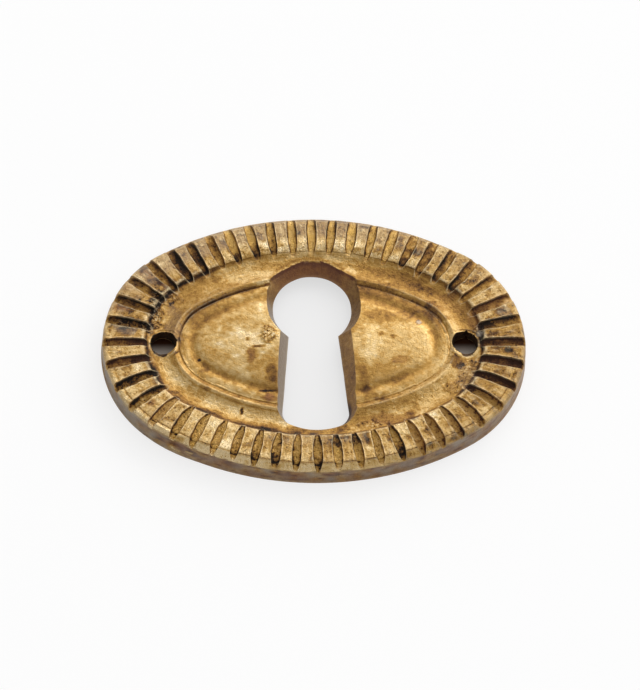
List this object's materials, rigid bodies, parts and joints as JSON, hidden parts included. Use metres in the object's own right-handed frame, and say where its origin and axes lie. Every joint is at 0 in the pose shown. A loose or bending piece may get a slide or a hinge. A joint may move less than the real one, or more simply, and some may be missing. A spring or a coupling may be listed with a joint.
{
  "type": "keyhole escutcheon",
  "caption": "Oval cast brass keyhole escutcheon with a fluted border, a domed middle pierced by a keyhole, and a nail hole near each end; trims and guards a drawer or cabinet keyhole.",
  "frame": {"origin": "middle of the back, on the surface that the plate is nailed to", "axes": "+X along the nail line, +Y towards the round head of the keyhole, +Z out of the face"},
  "size_m": [0.042, 0.0292, 0.0029],
  "materials": {
    "gilt_brass": "aged gilding, worn bright on the raised edges and brown in the recesses"
  },
  "bodies": {
    "root": {"escutcheon": "gilt_brass"}
  },
  "joints": []
}
